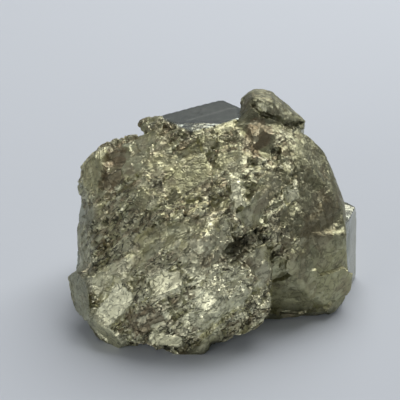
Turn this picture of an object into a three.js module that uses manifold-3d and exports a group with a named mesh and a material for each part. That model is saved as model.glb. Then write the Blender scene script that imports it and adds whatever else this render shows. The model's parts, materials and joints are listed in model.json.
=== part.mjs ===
// A hand-sized lump of pyrite, broken from a vein: massive, granular ore in front, grown into a
// cluster of crystals behind. It is one solid piece of mineral, so it is one mesh.
//
// Millimetres, +Z up. -Y is the broken front. The masses are placed about a point near the middle
// of the foot, and the last step puts the origin on the resting plane, under the middle of the
// specimen's box.
import * as THREE from "three";
import { ConvexGeometry } from "three/addons/geometries/ConvexGeometry.js";
import { TessellateModifier } from "three/addons/modifiers/TessellateModifier.js";
import { ImprovedNoise } from "three/addons/math/ImprovedNoise.js";
import { mergeVertices } from "three/addons/utils/BufferGeometryUtils.js";
import Module from "manifold-3d";

// Driving dimensions.
const LONGEST_EDGE = 5.5; // of a facet, once the surface is divided
const DIVIDE_AT_MOST = 12; // times a facet is divided
const ROUGHNESS = 1; // how far a broken surface stands in or out
const GRAIN = 6; // size of the dents and swellings that ROUGHNESS makes
const BROKEN_TO_GROWN = [-2, 6]; // where, along Y, the broken surface gives way to crystal faces
const FOOT = 0.05; // corners within this of the resting plane belong to the flat foot
const WELD = 1e-3; // corners nearer than this are one corner
const FLOOR = { side: 200, thick: 20 }; // the block that cuts the foot flat

// The broken masses, each the convex hull of its corners.
const brokenMasses = {
  heart: [
    [-14, -9, 2], [24, -9, 1.5], [27, 2, 1.5], [16, 13, 2], [-6, 14, 2.5], [-16, 5, 2],
    [-14, -6, 36], [18, -6, 36], [24, 10, 36], [-14, 10, 36],
  ],
  front: [
    [-22, 2, 40.5], [-19, 0, 40.5], [-9.5, 2, 45], [8.5, 1, 45.5], [13, -8, 40], [15.5, -20, 24.5],
    [17, -23.5, 16], [16.5, -24.5, 11], [14, -24, 5], [8, -27, 3], [-3.5, -29.5, 2.5], [-16.5, -28.5, 3],
    [-25.5, -23.5, 6.5], [-26.5, -17.5, 18], [-26, -9.5, 28], [-25, -2, 37],
    [0, -25.5, 29], [-11.5, -29.5, 18], [3.5, -30.5, 16], [-11.5, -17, 35], [9.5, -16, 36.5],
    [-22, 12, 36], [14, 14, 42], [-24, 10, 2], [14, 10, 2.5], [-17, -24, 1.2], [4, -25, 1.2],
  ],
  frontToe: [
    [-10.5, -28.5, 2], [-6, -29, 0.5], [-3.5, -29, -1], [-0.5, -29, -1], [1.5, -28.5, 0.5],
    [3, -28, 4], [-11, -29, 6], [2, -29, 8], [-8, -22, -2], [3, -22, -2],
  ],
  rightShoulder: [
    [8.5, 0, 46], [15, 3, 46.8], [21, 5.5, 44.2], [26.5, 9, 41.2], [20, 2, 43], [25, 0, 39],
    [29.5, -4.5, 29], [30, -7, 23], [14, -20.5, 25],
    [10, -16, 36.5], [27.5, 10.5, 40], [31.5, 10, 36.5], [33, 8.5, 33.5], [34, 6.5, 29.5],
    [36, 6.5, 26.5], [37, 6, 23.5], [36, -3, 25.5], [36.3, -6, 20.5], [10, 18, 20], [12, 18, 43],
  ],
  rightBlock: [
    [17, -18, 25.3], [24.5, -13.6, 23.5], [36, -7, 21.5], [37, -7, 14.5], [37.5, -8, 7],
    [37.5, -8, 3], [34, -10.5, 1], [29.5, -12, 0.5], [25, -13, 0.5], [15, -13.5, 0.5],
    [32, -11, 15.5], [28, -16, 7.5], [14, -14, 9], [10, 8, 22], [34, 8, 22], [10, 8, -3],
    [34, 8, -2],
  ],
  leftShelf: [
    [-28, 6, 37], [-25.5, 8.5, 38.5], [-22, 12, 39], [-18, 13.5, 39.5], [-15.5, 11.5, 40],
    [-30, 3.5, 34.5], [-30.5, 0.5, 31], [-30, -1.5, 28], [-29, -4.5, 24.5], [-25, 1.5, 39.5],
    [-26.5, -2.5, 37], [-26.5, -6, 32.5], [-26, -9, 28], [-12, 2, 42], [-14, 12, 24], [-12, -6, 26],
  ],
  leftFlank: [
    [-29.5, -3.5, 24.5], [-31, -3, 20.5], [-31, -5, 16], [-30.5, -8, 12], [-26, -9.5, 27.5],
    [-26.5, -13, 22.5], [-26.5, -16.5, 17.5], [-18, 8, 24], [-18, 8, 8], [-14, -10, 14],
  ],
  lowerLeft: [
    [-30.5, -9, 12.5], [-31.5, -10.5, 11.5], [-32.5, -12.5, 10], [-31.5, -14, 8.5], [-30.5, -16, 6.5],
    [-29, -18, 4.5], [-27, -20.5, 3.5], [-26, -17.5, 17.5], [-26.5, -21.5, 13.5], [-26.5, -23, 8.5],
    [-25.5, -23.5, 6.5], [-20, 4, 12], [-22, 2, 1], [-18, -20, 1],
  ],
  leftToe: [
    [-27, -20, 3], [-24.5, -22, 1], [-23, -23.5, 0], [-20, -25, -0.5], [-17.5, -25.5, 0.5],
    [-14, -27, 1.5], [-25.5, -23.5, 7], [-21, -27.5, 6], [-16, -29, 5], [-20, -10, -2], [-12, -14, -2],
  ],
  topRidge: [
    [-7.5, 5.3, 45.9], [-7.5, 2, 45.6], [-2.8, -1.8, 46.1], [1.2, 1.4, 46], [9, 6.6, 45.7], [-5, -6, 42.5],
    [6, -3, 43.5], [-8, 4, 38], [8, 4, 38],
  ],
  leftKnob: [
    [-15.5, 9, 44.5], [-15, 10.5, 45], [-13, 11.5, 45], [-10.5, 11, 45.5], [-15, 4.5, 43.5],
    [-12, 2.5, 45], [-8, 4.5, 46.5], [-12, 9, 38], [-6, 8, 40],
  ],
  peak: [
    [10.5, 14.5, 49], [13, 16.5, 50.5], [16, 17.5, 50.5], [19, 18, 49], [10.5, 9, 47], [10, 4.5, 45.5],
    [13.5, 2, 46], [15.5, 3.5, 49.5], [13, 8, 51.5], [17.5, 8, 51], [19, 5, 47], [10, 14, 42],
    [20, 14, 42],
  ],
  peakFlank: [
    [16, 16, 50.5], [18.5, 18, 49.5], [22.5, 16.5, 46.5], [26, 15.5, 43.5], [27.5, 13.5, 42.5],
    [27, 11, 41.5], [23, 7, 44], [18.5, 5, 46], [16, 4, 48], [17.5, 8, 51], [16, 14, 41], [22, 14, 40],
  ],
};

// Open clefts, each a thin wedge taken out of the mass.
const clefts = {
  underPeak: [
    [13.5, 1.5, 48.7], [29, 7.5, 42.3], [29, 7.5, 41.1], [17, 8, 47], [29.5, 19, 41.2], [29.5, 19, 40.4],
  ],
  middle: [
    [6, -25, 27.2], [16, -25, 27.5], [16, -25, 24.8], [8, -18, 25.5], [15.5, -15, 24.8],
  ],
};

// The crystals: blocks with their corners cut off, by half size, centre and turn in degrees.
const crystals = {
  top: { half: [10, 6.8, 9], at: [1.8, 10.3, 36.8], turn: [0, 0, 37], corner: 0.12 },
  edge: { half: [11, 8, 12], at: [28.2, 5.4, 9.2], turn: [2, -3, -20], corner: 0.25 },
  left: { half: [11, 10, 15], at: [-17.5, 6.5, 16], turn: [4, 6, -18], corner: 0.12 },
  middle: { half: [13, 10, 13.5], at: [3, 14.5, 15.5], turn: [-6, 4, 12], corner: 0.1 },
  underPeak: { half: [8.5, 8, 11.5], at: [15.5, 12, 31], turn: [-5, 4, -24], corner: 0.1 },
  high: { half: [8.5, 8, 9], at: [-12, 13, 26.5], turn: [8, -7, 33], corner: 0.12 },
  low: { half: [7.5, 7, 8], at: [-10, 20, 7.5], turn: [3, 12, 40], corner: 0.1 },
  right: { half: [8.5, 8, 10], at: [21, 16.5, 12], turn: [12, -6, -34], corner: 0.12 },
  smallLeft: { half: [4, 4, 4.5], at: [-20, 16, 24], turn: [20, 10, 15], corner: 0.15 },
  smallMiddle: { half: [4.5, 4, 4], at: [-1, 22.5, 26], turn: [-15, 25, 50], corner: 0.15 },
  smallRight: { half: [4, 4.5, 4], at: [14, 20.5, 24.5], turn: [25, 15, 10], corner: 0.15 },
};

const wasm = await Module();
wasm.setup();

// A closed three.js geometry as a solid that can be joined and cut.
function solidOf(geometry) {
  const bare = new THREE.BufferGeometry().setAttribute("position", geometry.getAttribute("position"));
  if (geometry.index) bare.setIndex(geometry.index);
  const merged = mergeVertices(bare, WELD);
  return new wasm.Manifold(
    new wasm.Mesh({
      numProp: 3,
      vertProperties: merged.attributes.position.array,
      triVerts: new Uint32Array(merged.index.array),
    }),
  );
}

function geometryOf(solid) {
  const mesh = solid.getMesh();
  return new THREE.BufferGeometry()
    .setAttribute("position", new THREE.BufferAttribute(mesh.vertProperties, 3))
    .setIndex(new THREE.BufferAttribute(mesh.triVerts, 1));
}

const hullOf = (corners) => new ConvexGeometry(corners.map((c) => new THREE.Vector3(...c)));
const turned = (degrees) => new THREE.Euler(...degrees.map(THREE.MathUtils.degToRad));

// A block whose eight corners are cut back by the share `corner` of its half size.
function crystal({ half, at, turn, corner }) {
  const corners = [];
  for (const sx of [-1, 1])
    for (const sy of [-1, 1])
      for (const sz of [-1, 1])
        for (let cut = 0; cut < 3; cut++) {
          const c = [sx * half[0], sy * half[1], sz * half[2]];
          c[cut] *= 1 - corner;
          corners.push(c);
        }
  return hullOf(corners)
    .applyMatrix4(new THREE.Matrix4().makeRotationFromEuler(turned(turn)))
    .translate(...at);
}

const pieces = [...Object.values(brokenMasses).map(hullOf), ...Object.values(crystals).map(crystal)];
const grown = pieces.map(solidOf).reduce((whole, piece) => whole.add(piece));
const floor = new THREE.BoxGeometry(FLOOR.side, FLOOR.side, FLOOR.thick).translate(0, 0, -FLOOR.thick / 2);
const cuts = [...Object.values(clefts).map(hullOf), floor];
const cut = cuts.map(solidOf).reduce((whole, piece) => whole.subtract(piece), grown);

// Divides the facets and moves their corners in and out, most on the broken front and least on the
// crystal faces behind. The flat foot stays flat.
function weather(geometry) {
  const fine = mergeVertices(new TessellateModifier(LONGEST_EDGE, DIVIDE_AT_MOST).modify(geometry), WELD);
  fine.computeVertexNormals();
  const noise = new ImprovedNoise();
  const place = fine.getAttribute("position");
  const normal = fine.getAttribute("normal");
  const p = new THREE.Vector3();
  const n = new THREE.Vector3();
  for (let i = 0; i < place.count; i++) {
    p.fromBufferAttribute(place, i);
    if (p.z < FOOT) continue;
    n.fromBufferAttribute(normal, i);
    const broken = 1 - THREE.MathUtils.smoothstep(p.y, ...BROKEN_TO_GROWN);
    const wave = noise.noise(p.x / GRAIN, p.y / GRAIN, p.z / GRAIN);
    p.addScaledVector(n, ROUGHNESS * broken * wave);
    place.setXYZ(i, p.x, p.y, Math.max(p.z, 2 * FOOT));
  }
  return fine;
}

const shape = weather(geometryOf(cut));
shape.computeBoundingBox();
const middle = shape.boundingBox.getCenter(new THREE.Vector3());
shape.translate(-middle.x, -middle.y, 0);

const specimen = new THREE.Mesh(
  shape,
  new THREE.MeshStandardMaterial({ color: 0x8a8668, roughness: 0.4, metalness: 1 }),
);
specimen.name = "pyrite_specimen";
const part = new THREE.Group();
part.add(specimen);
export default part;
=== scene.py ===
# A hand-sized lump of pyrite on a pale floor: massive, granular ore in front, broken from its vein,
# and intergrown crystals at the top, side and back. Metres, +Z up, -Y out of the broken front.
import json
import math

import bpy
from mathutils import Euler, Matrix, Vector

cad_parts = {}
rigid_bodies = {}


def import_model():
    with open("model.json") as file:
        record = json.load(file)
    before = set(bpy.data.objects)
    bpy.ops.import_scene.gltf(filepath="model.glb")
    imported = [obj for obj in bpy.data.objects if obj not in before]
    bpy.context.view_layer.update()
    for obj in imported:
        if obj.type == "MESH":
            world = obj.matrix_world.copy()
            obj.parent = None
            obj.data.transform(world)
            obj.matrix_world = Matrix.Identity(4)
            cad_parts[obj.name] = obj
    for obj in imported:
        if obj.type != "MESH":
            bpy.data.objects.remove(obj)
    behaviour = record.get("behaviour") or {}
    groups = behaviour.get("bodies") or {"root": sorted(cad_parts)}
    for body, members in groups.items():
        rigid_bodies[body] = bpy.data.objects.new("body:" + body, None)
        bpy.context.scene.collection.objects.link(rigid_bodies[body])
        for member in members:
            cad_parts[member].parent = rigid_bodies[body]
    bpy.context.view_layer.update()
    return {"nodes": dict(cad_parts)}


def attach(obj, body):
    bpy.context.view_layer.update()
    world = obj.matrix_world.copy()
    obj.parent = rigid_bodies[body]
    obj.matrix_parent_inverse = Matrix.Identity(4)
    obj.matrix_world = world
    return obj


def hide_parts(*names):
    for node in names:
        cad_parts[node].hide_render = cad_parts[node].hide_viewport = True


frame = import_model()
MM = 0.001

# ---------------------------------------------------------------------------------------------
# The pyrite, one piece of mineral. Its front and underside broke away from the vein, which left
# stepped, granular metal-bright facets; the rest is smooth crystal faces that grew into a cavity.
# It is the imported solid, covered with a fine skin that is then broken into facets.
# ---------------------------------------------------------------------------------------------
solid = frame["nodes"]["pyrite_specimen"]
MERGE_WITHIN = 0.001 * MM
SKIN_CELL = 0.46 * MM
SMOOTH_UNDER = math.radians(28)

bpy.ops.object.select_all(action="DESELECT")
rock = solid.copy()
rock.data = solid.data.copy()
rock.name = rock.data.name = "pyrite_rock"
rock.parent = None
bpy.context.collection.objects.link(rock)
rock.select_set(True)
bpy.context.view_layer.objects.active = rock
bpy.ops.object.mode_set(mode="EDIT")
bpy.ops.mesh.select_all(action="SELECT")
bpy.ops.mesh.remove_doubles(threshold=MERGE_WITHIN)
bpy.ops.object.mode_set(mode="OBJECT")

skin = rock.modifiers.new("skin", "REMESH")
skin.mode = "VOXEL"
skin.voxel_size = SKIN_CELL
bpy.ops.object.modifier_apply(modifier=skin.name)

# The skin can come with a loose speck: only what is joined to its highest point is kept.
bpy.ops.object.mode_set(mode="EDIT")
bpy.ops.mesh.select_all(action="DESELECT")
bpy.ops.object.mode_set(mode="OBJECT")
max(rock.data.vertices, key=lambda vertex: vertex.co.z).select = True
bpy.ops.object.mode_set(mode="EDIT")
bpy.ops.mesh.select_linked()
bpy.ops.mesh.select_all(action="INVERT")
bpy.ops.mesh.delete(type="VERT")
bpy.ops.object.mode_set(mode="OBJECT")

# Its points are drawn back onto the solid.
settle = rock.modifiers.new("settle", "SHRINKWRAP")
settle.target = solid
bpy.ops.object.modifier_apply(modifier=settle.name)

# Ways to measure along, and the parts of a random colour, which are read in the same way.
RIGHT, INWARD, UP = (1, 0, 0), (0, 1, 0), (0, 0, 1)
RED, GREEN, BLUE = RIGHT, INWARD, UP
MID = (0.5, 0.5, 0.5)


class Value:
    """A number or a vector that changes over the rock: a socket of the node tree being written.
    A socket of one tree does nothing in another, so each tree works out its own."""

    tree = None

    def __init__(self, socket):
        self.socket = socket

    @classmethod
    def node(cls, kind, settings=None, sockets=None, out=0):
        """A new node: its settings are made first, then the values or links of its sockets."""
        made = cls.tree.nodes.new(kind)
        for name, setting in (settings or {}).items():
            setattr(made, name, setting)
        for name, value in (sockets or {}).items():
            if isinstance(value, Value):
                cls.tree.links.new(value.socket, made.inputs[name])
            else:
                made.inputs[name].default_value = value
        return cls(made.outputs[out])

    def other(self, name):
        """Another output of the same node."""
        return Value(self.socket.node.outputs[name])

    def maths(self, operation, *values):
        sockets = dict(enumerate((self, *values)))
        return Value.node("ShaderNodeMath", {"operation": operation}, sockets)

    def __add__(self, value):
        return self.maths("ADD", value)

    def __radd__(self, value):
        return self.maths("ADD", value)

    def __sub__(self, value):
        return self.maths("SUBTRACT", value)

    def __rsub__(self, value):
        return Value.node("ShaderNodeMath", {"operation": "SUBTRACT"}, {0: value, 1: self})

    def __mul__(self, value):
        return self.maths("MULTIPLY", value)

    def __rmul__(self, value):
        return self.maths("MULTIPLY", value)

    def __truediv__(self, value):
        return self.maths("DIVIDE", value)

    def __neg__(self):
        return self.maths("MULTIPLY", -1)

    def vector(self, operation, *values, out=0):
        sockets = dict(enumerate((self, *values)))
        return Value.node("ShaderNodeVectorMath", {"operation": operation}, sockets, out)

    def along(self, direction):
        """How far a place lies along a direction, or how much there is of one part of a colour."""
        return self.vector("DOT_PRODUCT", tuple(direction), out="Value")

    def times(self, number):
        sockets = {0: self, "Scale": number}
        return Value.node("ShaderNodeVectorMath", {"operation": "SCALE"}, sockets)

    def ramp(self, low, high):
        """0 up to low, 1 from high on, smooth between them."""
        return Value.node(
            "ShaderNodeMapRange",
            {"interpolation_type": "SMOOTHSTEP"},
            {"Value": self, "From Min": low, "From Max": high},
        )

    def noise(self, size, detail=2.0):
        """A cloudy number about 0.5, whose swellings are about `size` mm across."""
        sockets = {"Vector": self, "Scale": 1 / size, "Detail": detail, "Roughness": 0.5}
        return Value.node("ShaderNodeTexNoise", sockets=sockets)

    def bands(self, size, detail=3.0):
        """A number about 0.5 that changes along one measure only, in bands about `size` mm wide."""
        sockets = {"W": self, "Scale": 1 / size, "Detail": detail, "Roughness": 0.6}
        return Value.node("ShaderNodeTexNoise", {"noise_dimensions": "1D"}, sockets)

    def cells(self, size, shape="CHEBYCHEV"):
        """Random blocky cells about `size` mm across: their colour, with their middle as another
        output."""
        sockets = {"Vector": self, "Scale": 1 / size}
        return Value.node("ShaderNodeTexVoronoi", {"distance": shape}, sockets, "Color")

    def facets(self, size, slope, step, lean=0.0, shape="CHEBYCHEV"):
        """Flat facets about `size` mm across, each tilted by up to `slope` and off its neighbours
        by `step` mm. With a `lean` they overlap like scales, each sloping to the next along Y."""
        cell = self.cells(size, shape)
        tilt = cell.vector("SUBTRACT", MID).times(2 * slope).vector("SUBTRACT", (0, lean, 0))
        from_middle = self.vector("SUBTRACT", cell.other("Position"))
        height = from_middle.vector("DOT_PRODUCT", tilt, out="Value")
        return height + (cell.along(RED) - 0.5) * step

    def seams(self, size, width):
        """1 along the borders of cells about `size` mm across, 0 from `width` mm away."""
        sockets = {"Vector": self, "Scale": 1 / size}
        feature = {"feature": "DISTANCE_TO_EDGE"}
        edge = Value.node("ShaderNodeTexVoronoi", feature, sockets, "Distance")
        return 1 - edge.ramp(0.0, width / size)


def largest(*values):
    """The largest of several numbers, at each point."""
    most, *others = values
    for value in others:
        most = most.maths("MAXIMUM", value)
    return most


# The crystals: half sizes and middle in mm, and turn in degrees, as in the solid. Each has growth
# lines of its own, which are counted LINES_APART further on than those of the one before it.
LINES_APART = 40
CRYSTALS = (
    ((10, 6.8, 9), (-2.7, 10.5, 36.8), (0, 0, 37)),
    ((11, 8, 12), (23.7, 5.6, 9.2), (2, -3, -20)),
    ((11, 10, 15), (-22.0, 6.7, 16), (4, 6, -18)),
    ((13, 10, 13.5), (-1.5, 14.7, 15.5), (-6, 4, 12)),
    ((8.5, 8, 11.5), (11.0, 12.2, 31), (-5, 4, -24)),
    ((8.5, 8, 9), (-16.5, 13.2, 26.5), (8, -7, 33)),
    ((7.5, 7, 8), (-14.5, 20.2, 7.5), (3, 12, 40)),
    ((8.5, 8, 10), (16.5, 16.7, 12), (12, -6, -34)),
    ((4, 4, 4.5), (-24.5, 16.2, 24), (20, 10, 15)),
    ((4.5, 4, 4), (-5.5, 22.7, 26), (-15, 25, 50)),
    ((4, 4.5, 4), (9.5, 20.7, 24.5), (25, 15, 10)),
)

breaking = bpy.data.node_groups.new("breaking", "GeometryNodeTree")
breaking.interface.new_socket("Rock", in_out="INPUT", socket_type="NodeSocketGeometry")
breaking.interface.new_socket("Rock", in_out="OUTPUT", socket_type="NodeSocketGeometry")
Value.tree = breaking
whole = Value.node("NodeGroupInput")
place = Value.node("GeometryNodeInputPosition").times(1 / MM)
outward = Value.node("GeometryNodeInputNormal")
across, inward, height = place.along(RIGHT), place.along(INWARD), place.along(UP)

# How far a point lies outside the nearest crystal, and its place across that crystal's growth
# lines, which run one way on each pair of faces.
outside = None
for number, (half, middle, turn) in enumerate(CRYSTALS):
    axes = Euler([math.radians(a) for a in turn], "ZYX").to_matrix().transposed()
    from_middle = place.vector("SUBTRACT", middle)
    x, y, z = (from_middle.along(axis) for axis in axes)
    past_x, past_y, past_z = (way.maths("ABSOLUTE") - reach for way, reach in zip((x, y, z), half))
    beyond = largest(past_x, past_y, past_z)
    on_x = past_x.maths("GREATER_THAN", past_y.maths("MAXIMUM", past_z))
    on_y = past_y.maths("GREATER_THAN", past_x.maths("MAXIMUM", past_z))
    line = y + (z - y) * on_x + (x - y) * on_y + LINES_APART * number
    if outside is None:
        outside, lines = beyond, line
    else:
        lines = lines + (line - lines) * beyond.maths("LESS_THAN", outside)
        outside = outside.maths("MINIMUM", beyond)

# Broken ore is what stands out of the crystals, and the front just below the dark top face. Its
# edges are softened, and the foot stays flat.
in_front = height.ramp(36, 38) * (1 - height.ramp(45.1, 45.5)) * (1 - inward.ramp(6, 8))
broken = largest(outside.ramp(0.05, 0.6), in_front)
above_foot = height.ramp(0.1, 1.2)
melt = Value.node(
    "GeometryNodeBlurAttribute",
    {"data_type": "FLOAT_VECTOR"},
    {"Value": place, "Iterations": 5, "Weight": broken * above_foot},
)

# The grain of the ore runs up to the right across the front.
GRAIN_TURN = math.radians(38)
GRAIN = Vector((math.cos(GRAIN_TURN), 0, math.sin(GRAIN_TURN)))
ACROSS = Vector((-GRAIN.z, 0, GRAIN.x))


def grain_lines(place, stretch):
    """The place counted along the grain, across it and inwards, drawn together along the grain."""
    along, across, inward = (place.along(way) for way in (GRAIN / stretch, ACROSS, INWARD))
    return Value.node("ShaderNodeCombineXYZ", sockets={"X": along, "Y": across, "Z": inward})


def warped(grained, place, detail, push):
    """Grain lines pushed about by up to half of `push` mm, in swirls about 3 mm across."""
    sockets = {"Vector": place, "Scale": 1 / 3, "Detail": detail}
    swirl = Value.node("ShaderNodeTexNoise", sockets=sockets, out="Color")
    return grained.vector("ADD", swirl.vector("SUBTRACT", MID).times(push))


# The power that shapes a spot: at 2 it is an oval, and more squares it off.
BOXINESS = 6


def spot(place, middle, size, turn, ragged=0.5):
    """1 within an oval `size` mm long and wide, turned `turn` degrees up from level and ending in
    a ragged edge, 0 outside it."""
    angle = math.radians(turn)
    length, width = size
    from_middle = place.vector("SUBTRACT", middle)
    lengthwise = from_middle.along((math.cos(angle), 0, math.sin(angle))) / (length / 2)
    crosswise = from_middle.along((-math.sin(angle), 0, math.cos(angle))) / (width / 2)
    deep = from_middle.along(INWARD) / (1.5 * max(length, width))
    lengthwise, crosswise, deep = (
        way.maths("POWER", BOXINESS) for way in (lengthwise, crosswise, deep)
    )
    far = (lengthwise + crosswise + deep).maths("POWER", 1 / BOXINESS)
    return 1 - (far + ragged * (place.noise(3, 3.0) - 0.5) * 1.5).ramp(0.88, 1.0)


# Cleaved plates, flat and clean: middle, way that they face, length and width, turn.
PLATES = (
    ((-24.7, -25.3, 11.3), (-0.5, -0.85, 0.3), (12.5, 5.4), 57),
    ((-12.3, -29.2, 4.4), (-0.25, -0.95, 0.2), (8.5, 3.6), -4),
    ((-12.4, -28.3, 19.3), (-0.3, -0.85, 0.4), (9, 4.2), 20),
    ((-3.0, -30.3, 15.6), (-0.35, -0.85, 0.3), (5, 4.5), 50),
    ((-7.6, -11.5, 38.0), (0, -0.62, 0.78), (12, 4.4), 24),
    ((-10.8, -16.8, 35.4), (0.1, -0.8, 0.6), (3.4, 2.2), 45),
    ((-18.1, -15.3, 34.2), (-0.3, -0.55, 0.75), (4, 3), 60),
    ((6.6, 0.0, 43.6), (-0.5, -0.75, 0.3), (7.5, 3.6), 95),
    ((11.0, -1.6, 42.3), (0.3, -0.85, 0.35), (6.5, 4.5), 60),
    ((-30.2, -3.0, 36.3), (-0.55, -0.75, 0.4), (10, 6), 80),
    ((10.7, 4.5, 49.8), (-0.25, -0.75, 0.5), (2.4, 3), 80),
    ((-33.2, -18.5, 10.0), (-0.85, -0.5, 0.1), (11, 6), 100),
    ((-26.9, -25.0, 3.9), (-0.6, -0.7, -0.3), (11, 5), 145),
    ((4.3, -16.4, 36.0), (-0.3, -0.8, 0.5), (3, 6), 10),
    ((17.2, -8.3, 32.3), (-0.1, -0.9, 0.4), (3.5, 2.5), 20),
)
# Fresh bright metal, partly painted highlight on facets that face the light, and brown stain:
# middle, length and width, turn, strength, raggedness.
FRESH_METAL_AND_HIGHLIGHT_SPOTS = (
    ((-24.7, -25.3, 11.3), (12.5, 5.4), 57, 1, 0.1),
    ((-12.3, -29.2, 4.4), (8.5, 3.6), -4, 0.5, 0.15),
    ((-26.9, -25.0, 3.9), (12, 6), 145, 0.8, 0.15),
    ((-10.8, -28.2, 20.0), (13, 6.5), 22, 0.75, 0.7),
    ((-0.6, -30.5, 14.5), (17, 13), 45, 1, 1.1),
    ((4.3, -16.4, 36.0), (4, 7), 10, 1, 1.0),
    ((17.2, -8.3, 32.3), (4.5, 3.5), 20, 1, 1.0),
    ((10.7, 4.5, 49.8), (2.2, 2.8), 80, 1, 0.15),
)
BROWN_SPOTS = (
    ((-17.3, -28.9, 9.7), (9, 6.5), 38, 1, 0.9),
    ((24.9, -6.6, 24.8), (12, 9), 60, 0.55, 0.9),
    ((9.4, 0.5, 44.3), (7, 6.5), 60, 1, 0.9),
    ((-25.8, -4.8, 36.8), (10, 5), 70, 1, 0.9),
)
# Hollows and clefts: middle, length and width, turn, depth.
HOLLOWS = (
    ((-25.6, -4.8, 36.8), (10, 5), 70, 1.1),
    ((6.0, -23.5, 25.5), (10, 3.8), 20, 1.8),
    ((-8.6, -27.5, 12.5), (6, 2), 40, 0.8),
    ((-27.3, -23.5, 13.0), (12, 1.4), 57, 0.8),
    ((-22.3, -27.0, 9.4), (12, 1.2), 57, 0.5),
    ((15.0, 6.0, 46.3), (15, 1.1), -30, 1.0),
)
# The sandy centre of the front: middle, length and width, turn.
SANDY = ((-3.4, -26.1, 27.2), (14, 11), 30)

grainy = place.noise(9).ramp(0.42, 0.58)
plates = None
cleave = None
for middle, facing, size, turn in PLATES:
    facing = Vector(facing).normalized()
    off = place.vector("SUBTRACT", middle).along(facing)
    plate = spot(place, middle, size, turn, 0.15) * (1 - off.maths("ABSOLUTE").ramp(1.2, 2.4))
    sockets = {0: tuple(facing), "Scale": -(off * plate)}
    shift = Value.node("ShaderNodeVectorMath", {"operation": "SCALE"}, sockets)
    cleave = shift if cleave is None else cleave.vector("ADD", shift)
    plates = plate if plates is None else largest(plates, plate)


def strongest(spots):
    """The strongest of some spots, at each point."""
    return largest(
        *(
            spot(place, middle, size, turn, ragged) * strength
            for middle, size, turn, strength, ragged in spots
        )
    )


fresh_metal_and_highlight = strongest(FRESH_METAL_AND_HIGHLIGHT_SPOTS)
brown = strongest(BROWN_SPOTS)
sandy = spot(place, *SANDY)
sunk = largest(
    *(spot(place, middle, size, turn, 1.0) * deep for middle, size, turn, deep in HOLLOWS)
)

# Where the breaking is calm: on plates, the smooth block, the peak, the left side and the shoulder,
# and partly in the marked spots.
block = across.ramp(11.5, 13.5) * (1 - height.ramp(18.5, 21.5))
peak = across.ramp(5, 7) * height.ramp(43.5, 45)
left_side = 1 - across.ramp(-32, -29.5)
shoulder = across.ramp(12, 22)
calm = largest(plates, block * 0.95, peak * 0.85, left_side * 0.5, shoulder * 0.9)
calm = largest(calm, sandy * 0.6, brown * 0.4, fresh_metal_and_highlight * 0.45)

# Facets about 5 mm across make the steps. About a third of them broke clean, with no scales.
STEP_SIZE, SCALE_SIZE = 5, 2.8
grained = grain_lines(place, 2.8)
ragged = warped(grained, place, 3.0, 1.0)
stepped = (1 - calm) * broken
clean = ragged.cells(STEP_SIZE).along(BLUE).ramp(0.66, 0.7)
calm = largest(calm, clean * 0.85)
flaky = (1 - calm) * broken
step_at = place.along(ACROSS) / 3.6 + place.noise(7, 3.0) * 2.6
ledges = (0.5 - step_at.maths("FRACT")) * 0.5
chips = grained.facets(1.5, 0.1, 0.05) * (0.4 + 0.6 * grainy)
gap = ragged.seams(SCALE_SIZE, 0.36) * place.noise(4).ramp(0.45, 0.6)
scales = ragged.facets(SCALE_SIZE, 0.14, 0.12, 0.16, "EUCLIDEAN")
swell = (place.noise(13) - 0.5) * 1.8
conchoidal = place.facets(10, 0.16, 0.0) * block * broken
growth = (lines.bands(3) - 0.5) * 0.1 + (place.noise(7) - 0.5) * 0.15
steps = (swell + ragged.facets(STEP_SIZE, 0.22, 0.45) + ledges * 0.6) * stepped
shards = (scales + chips - gap * 0.25) * flaky
move = (steps + shards + conchoidal + growth * (1 - broken) - sunk * broken) * above_foot

# Nothing goes below the floor. The sides are left free, far outside the rock.
LOWEST = (-99, -99, 0)
goal = melt.vector("ADD", outward.times(move)).vector("ADD", cleave).vector("MAXIMUM", LOWEST)
moved = Value.node(
    "GeometryNodeSetPosition",
    sockets={"Geometry": whole, "Position": goal.times(MM)},
)

# What the material needs to know is kept on the skin's points.
kept = {
    "broken": broken,
    # How deep a point lies in a gap or hollow, which the material darkens as painted shade.
    "hollow_shade": (gap * 0.6 - scales - chips) * flaky + sunk * 0.3,
    "fresh_metal_and_highlight": fresh_metal_and_highlight,
    "brown": brown,
    "calm": calm,
    "plates": plates,
    "lines": lines,
}
for name, field in kept.items():
    moved = Value.node(
        "GeometryNodeStoreNamedAttribute",
        {"data_type": "FLOAT", "domain": "POINT"},
        {"Geometry": moved, "Name": name, "Value": field},
    )
Value.tree.links.new(moved.socket, Value.tree.nodes.new("NodeGroupOutput").inputs[0])

fracture = rock.modifiers.new("fracture", "NODES")
fracture.node_group = breaking
bpy.ops.object.modifier_apply(modifier=fracture.name)

bpy.ops.object.select_all(action="DESELECT")
rock.select_set(True)
bpy.ops.object.shade_smooth_by_angle(angle=SMOOTH_UNDER)

# The material: pale brass metal, with painted shade in its seams and hollows, and greyer on the
# crystals. Its relief is flakes, chips and grains too small for the skin.
FLAKE_SIZE, CHIP_SIZE, GRAIN_SIZE = 2.2, 1.0, 0.42
pyrite = bpy.data.materials.new("pyrite")
pyrite.use_nodes = True
Value.tree = pyrite.node_tree
shader = pyrite.node_tree.nodes["Principled BSDF"]
place = Value.node("ShaderNodeTexCoord", out="Object").times(1 / MM)
across, inward, height = place.along(RIGHT), place.along(INWARD), place.along(UP)
broken, hollow_shade, fresh_metal_and_highlight, brown, calm, plates, lines = (
    Value.node("ShaderNodeAttribute", {"attribute_name": name}, out="Fac")
    for name in kept
)
grained = grain_lines(place, 1.9)
ragged = warped(grained, place, 2.0, 1.6)
dull, varied = 1 - fresh_metal_and_highlight, 1 - calm * 0.8
flakes = ragged.facets(FLAKE_SIZE, 0.28, 0.1, 0.22, "EUCLIDEAN")
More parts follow.
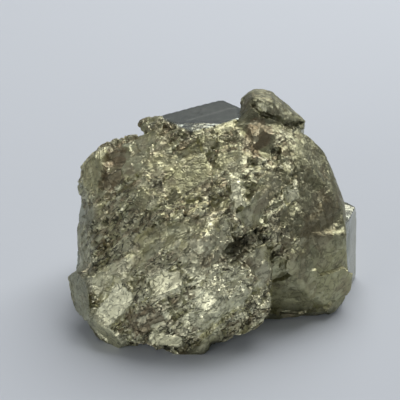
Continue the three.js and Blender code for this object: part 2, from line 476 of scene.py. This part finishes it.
chips = ragged.facets(CHIP_SIZE, 0.44, 0.08, 0.25, "EUCLIDEAN")
grains = place.facets(GRAIN_SIZE, 0.5, 0.02)
grainy = place.noise(9).ramp(0.42, 0.58)

# Seams run between the flakes and chips, and in short dashes over the plates. Their darkness is
# painted shade.
flake_seams = ragged.seams(FLAKE_SIZE, 0.26) * place.noise(1.6, 3.0).ramp(0.48, 0.56)
chip_seams = ragged.seams(CHIP_SIZE, 0.17) * place.noise(1.3, 3.0).ramp(0.52, 0.58)
dashes = place.seams(1.4, 0.16) * place.noise(1.0).ramp(0.5, 0.58) * plates
seams = largest(largest(flake_seams, chip_seams) * (1 - calm * 0.6), dashes * 0.7)

# One yellowish facet on the upper left is striped across.
striped = spot(place, (-29.8, -2.6, 36.8), (13, 8), 80, 0.8)
stripes = place.along((0.94, 0, 0.34)).bands(0.8)

grown = (lines.bands(0.9) - 0.5) * 0.03 + (lines.bands(0.3, 1.0) - 0.5) * 0.01
grown = grown * (1 - height.ramp(38, 42) * 0.7)
splinters = (flakes + chips) * varied - seams * 0.1 + grains * (0.4 + 0.6 * grainy) * varied
fine = (splinters + (stripes - 0.5) * striped * 0.25) * broken + grown * (1 - broken)
sockets = {"Strength": 1.0, "Distance": MM, "Height": fine}
bump = Value.node("ShaderNodeBump", sockets=sockets, out="Normal")
Value.tree.links.new(bump.socket, shader.inputs["Normal"])


def blend(low, high, share):
    """One colour, turning to another as the share goes from 0 to 1."""
    sockets = {"Factor": share}
    for name, colour in (("A", low), ("B", high)):
        sockets[name] = colour if isinstance(colour, Value) else (*colour, 1)
    mix = Value.tree.nodes.new("ShaderNodeMix")
    mix.data_type = "RGBA"
    for name, value in sockets.items():
        socket = next(i for i in mix.inputs if i.name == name and i.enabled)
        if isinstance(value, Value):
            Value.tree.links.new(value.socket, socket)
        else:
            socket.default_value = value
    return Value(next(o for o in mix.outputs if o.enabled))


BRASS = (0.53, 0.51, 0.30)
PINK = (0.46, 0.42, 0.28)
PALE = (0.54, 0.54, 0.36)
CREAM = (0.68, 0.67, 0.48)
BRIGHT = (0.80, 0.785, 0.55)
BROWN = (0.21, 0.165, 0.10)
OLIVE = (0.30, 0.295, 0.165)
PAINTED_SHADE_OLIVE = (0.17, 0.168, 0.105)
GREY = (0.275, 0.29, 0.24)
PAINTED_SHADE_STEEL = (0.215, 0.23, 0.20)
DUSK = (0.36, 0.37, 0.30)
NEAR_BLACK = (0.05, 0.05, 0.035)
STRAW = (0.46, 0.435, 0.29)
body = blend(BRASS, PINK, place.noise(5, 3.0).ramp(0.5, 0.62))
body = blend(body, PALE, place.noise(6, 3.0).ramp(0.5, 0.65))
# Painted highlight: a broad patch of the lower front is paled towards cream.
body = blend(body, CREAM, spot(place, (-8, -28, 15), (42, 24), 25, 1.0) * 0.65)
body = blend(body, BRIGHT, grained.noise(5).ramp(0.6, 0.75) * 0.7)
# Painted highlight, with fresh metal: the bright spots are paled to bright brass.
body = blend(body, BRIGHT, fresh_metal_and_highlight)
body = blend(body, BRIGHT, striped * stripes.ramp(0.45, 0.6) * 0.6)
left_side = (1 - across.ramp(-32, -28)) * (1 - striped)
# Painted shade: the right side, more so higher up, and the top are darkened towards olive, as are
# the plates away from the bright spots.
right_side_shade = across.ramp(11, 20) * (0.55 + 0.35 * height.ramp(20, 26))
olive_and_painted_shade = largest(plates * 0.7, right_side_shade, height.ramp(42, 44.5) * 0.6)
body = blend(body, OLIVE, olive_and_painted_shade * dull)
# Painted shade in the cleft on the front.
body = blend(body, NEAR_BLACK, spot(place, (6, -23.5, 25.5), (11, 6), 20, 1.0) * 0.25)
body = blend(body, GREY, left_side * 0.6)
# Painted shade: the shoulder on the right, the peak and the foot are darkened to a deep olive.
body = blend(body, PAINTED_SHADE_OLIVE, across.ramp(9, 17) * height.ramp(20, 26) * dull * 0.55)
body = blend(body, PAINTED_SHADE_OLIVE, height.ramp(45, 46.5) * across.ramp(4, 6) * dull * 0.85)
body = blend(body, PAINTED_SHADE_OLIVE, (1 - height.ramp(1.5, 5)) * dull * 0.9)
stain = largest(place.noise(6.5).ramp(0.56, 0.72) * 0.6, brown * 0.9)
body = blend(body, BROWN, stain * dull)

# Each flake, chip and grain is a little brighter or browner than its neighbours.
flake, chip = ragged.cells(FLAKE_SIZE, "EUCLIDEAN"), ragged.cells(CHIP_SIZE, "EUCLIDEAN")
grain = place.cells(GRAIN_SIZE)
colour = body
for cell, share in ((flake, 0.5), (chip, 0.75), (grain, 0.25)):
    brighter = cell.along(RED).ramp(0.5, 1.0) * varied * share
    browner = cell.along(GREEN).ramp(0.55, 1.0) * varied * (1 - fresh_metal_and_highlight * 0.6) * share
    colour = blend(blend(colour, BRIGHT, brighter), BROWN, browner)

# The crystal faces are tarnished grey and straw-coloured towards the back; at the top they are
# darkened to steel grey as painted shade.
tarnish = blend(GREY, DUSK, place.noise(9, 3.0).ramp(0.45, 0.65))
tarnish = blend(tarnish, STRAW, inward.ramp(-3, 14) * 0.55)
pitted = place.seams(4, 0.2) * place.noise(2.5, 3.0).ramp(0.55, 0.65)
# Painted shade: the top face is darkened.
tarnish = blend(tarnish, PAINTED_SHADE_STEEL, height.ramp(40, 44))
tarnish = blend(tarnish, NEAR_BLACK, pitted * 0.8)
colour = blend(tarnish, colour, broken)
# Painted shade: the hollows are darkened nearly to black.
colour = blend(colour, NEAR_BLACK, hollow_shade.ramp(0.3, 0.65) * broken * (1 - fresh_metal_and_highlight * 0.5) * 0.55)
# Painted shade in the seams between the flakes and chips.
colour = blend(colour, NEAR_BLACK, seams * (1 - height.ramp(30, 40) * 0.3) * broken * 0.9)
Value.tree.links.new(colour.socket, shader.inputs["Base Color"])
shader.inputs["Metallic"].default_value = 1
sheen = grained.cells(1.1).along(GREEN)
roughness = 0.2 + (0.15 + 0.18 * sheen) * broken
Value.tree.links.new(roughness.socket, shader.inputs["Roughness"])

rock.data.materials.clear()
rock.data.materials.append(pyrite)
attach(rock, "root")
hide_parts("pyrite_specimen")

# ---------------------------------------------------------------------------------------------
# The floor: one wide sheet of pale grey matt board, which also makes the background. It lies
# loose under the specimen, and is no part of it.
# ---------------------------------------------------------------------------------------------
bpy.ops.object.select_all(action="DESELECT")
bpy.ops.mesh.primitive_plane_add(size=6, location=(0, 0, 0))
floor = bpy.context.object
floor.name = "floor"
board = bpy.data.materials.new("board")
board.use_nodes = True
paint = board.node_tree.nodes["Principled BSDF"].inputs
paint["Base Color"].default_value = (0.60, 0.63, 0.67, 1)
paint["Roughness"].default_value = 0.8
paint["Specular IOR Level"].default_value = 0.1
floor.data.materials.append(board)

# ---------------------------------------------------------------------------------------------
# The camera: a 100 mm lens, a little above the specimen and square to its broken front. It
# stands CAMERA_AWAY from the point that it looks at, CAMERA_ABOVE up from level.
# ---------------------------------------------------------------------------------------------
CAMERA_AT = Vector((-4.5, 0.2, 27)) * MM
CAMERA_ABOVE = math.radians(25)
CAMERA_AWAY = 277.8 * MM
camera = bpy.data.objects.new("camera", bpy.data.cameras.new("camera"))
bpy.context.collection.objects.link(camera)
camera.data.lens = 100
camera.data.sensor_width = 36
toward_camera = Vector((0, -math.cos(CAMERA_ABOVE), math.sin(CAMERA_ABOVE)))
camera.location = CAMERA_AT + CAMERA_AWAY * toward_camera
camera.rotation_euler = (CAMERA_AT - camera.location).to_track_quat("-Z", "Y").to_euler()
bpy.context.scene.camera = camera

# ---------------------------------------------------------------------------------------------
# The light: a strong soft box high up behind, a faint one overhead, two weaker ones on the left,
# and a grey room that glows more in front and behind than at the sides.
# ---------------------------------------------------------------------------------------------
def soft_box(name, at, aim, size, power):
    """A square lamp, `size` metres wide and `power` watts strong, which faces its aim."""
    lamp = bpy.data.objects.new(name, bpy.data.lights.new(name, "AREA"))
    bpy.context.collection.objects.link(lamp)
    lamp.data.shape = "SQUARE"
    lamp.data.size = size
    lamp.data.energy = power
    lamp.location = at
    lamp.rotation_euler = (Vector(aim) - Vector(at)).to_track_quat("-Z", "Y").to_euler()


soft_box("behind", (0.24, 0.5, 0.92), (0, 0, 0), 1.0, 11.0)
soft_box("overhead", (0, -0.1, 1.1), (0, 0, 0), 1.0, 0.25)
soft_box("front_left", (-0.6, -0.8, 0.22), (0, 0, 0.03), 0.4, 1.9)
soft_box("left", (-0.95, -0.3, 0.35), (0, 0, 0.03), 0.6, 0.7)
room = bpy.data.worlds.new("room")
room.use_nodes = True
Value.tree = room.node_tree
toward = Value.node("ShaderNodeTexCoord", out="Generated")
back, up = toward.along(INWARD), toward.along(UP)
from_behind = 0.24 * back.ramp(-0.6, 0.9)
from_front = 0.5 * (-back).ramp(0.2, 0.9) * (1 - up.ramp(0.3, 0.7))
glow = 0.04 + from_behind + from_front
Value.tree.links.new(glow.socket, room.node_tree.nodes["Background"].inputs["Strength"])
room.node_tree.nodes["Background"].inputs["Color"].default_value = (0.94, 0.98, 1.05, 1)
bpy.context.scene.world = room
bpy.context.scene.view_settings.view_transform = "Standard"
